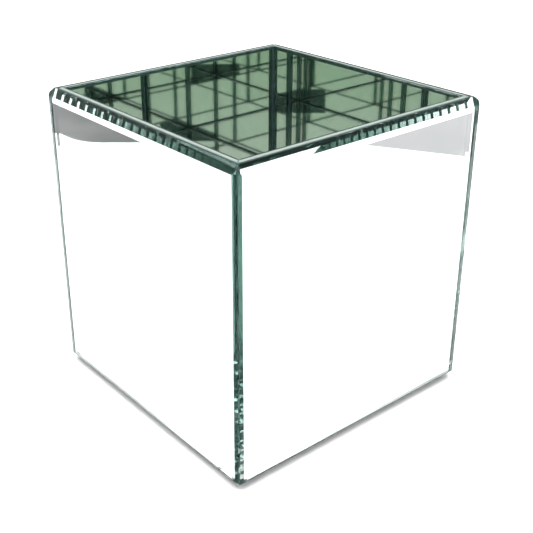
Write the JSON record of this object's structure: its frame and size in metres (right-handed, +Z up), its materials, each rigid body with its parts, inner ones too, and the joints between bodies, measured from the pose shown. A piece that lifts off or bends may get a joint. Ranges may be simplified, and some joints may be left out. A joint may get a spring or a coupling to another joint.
{
  "type": "mirrored display cube",
  "caption": "Open-topped square display box of bevelled green-edged mirror glass, mirrored outside and inside, with a mirror floor and small clear feet.",
  "frame": {"origin": "on the standing surface, under the middle of the box", "axes": "+Z up through the open top; -Y out of the front face and +X out of the right face"},
  "size_m": [0.1, 0.1, 0.103],
  "materials": {
    "outer_mirror": "polished second-surface mirror on pale green float glass, bevelled and chamfered edges",
    "lining_mirror": "polished second-surface mirror on green float glass, ground edges",
    "backing": "matt grey mirror backing paint and adhesive",
    "adhesive": "cured clear adhesive, dark between two ground glass edges",
    "painted_glass": "glass with a satin dark grey protective paint underneath",
    "clear_rubber": "clear soft polyurethane"
  },
  "bodies": {
    "root": {"front_outer_mirror": "outer_mirror", "front_bond_sheet": "backing", "front_lining_mirror": "lining_mirror", "front_floor_seam": "adhesive", "front_right_outer_seam": "adhesive", "front_right_lining_seam": "adhesive", "right_outer_mirror": "outer_mirror", "right_bond_sheet": "backing", "right_lining_mirror": "lining_mirror", "right_floor_seam": "adhesive", "right_back_outer_seam": "adhesive", "right_back_lining_seam": "adhesive", "back_outer_mirror": "outer_mirror", "back_bond_sheet": "backing", "back_lining_mirror": "lining_mirror", "back_floor_seam": "adhesive", "back_left_outer_seam": "adhesive", "back_left_lining_seam": "adhesive", "left_outer_mirror": "outer_mirror", "left_bond_sheet": "backing", "left_lining_mirror": "lining_mirror", "left_floor_seam": "adhesive", "left_front_outer_seam": "adhesive", "left_front_lining_seam": "adhesive", "base_plate": "painted_glass", "base_bond_sheet": "backing", "floor_mirror": "lining_mirror", "front_left_foot": "clear_rubber", "back_left_foot": "clear_rubber", "front_right_foot": "clear_rubber", "back_right_foot": "clear_rubber"}
  },
  "joints": []
}
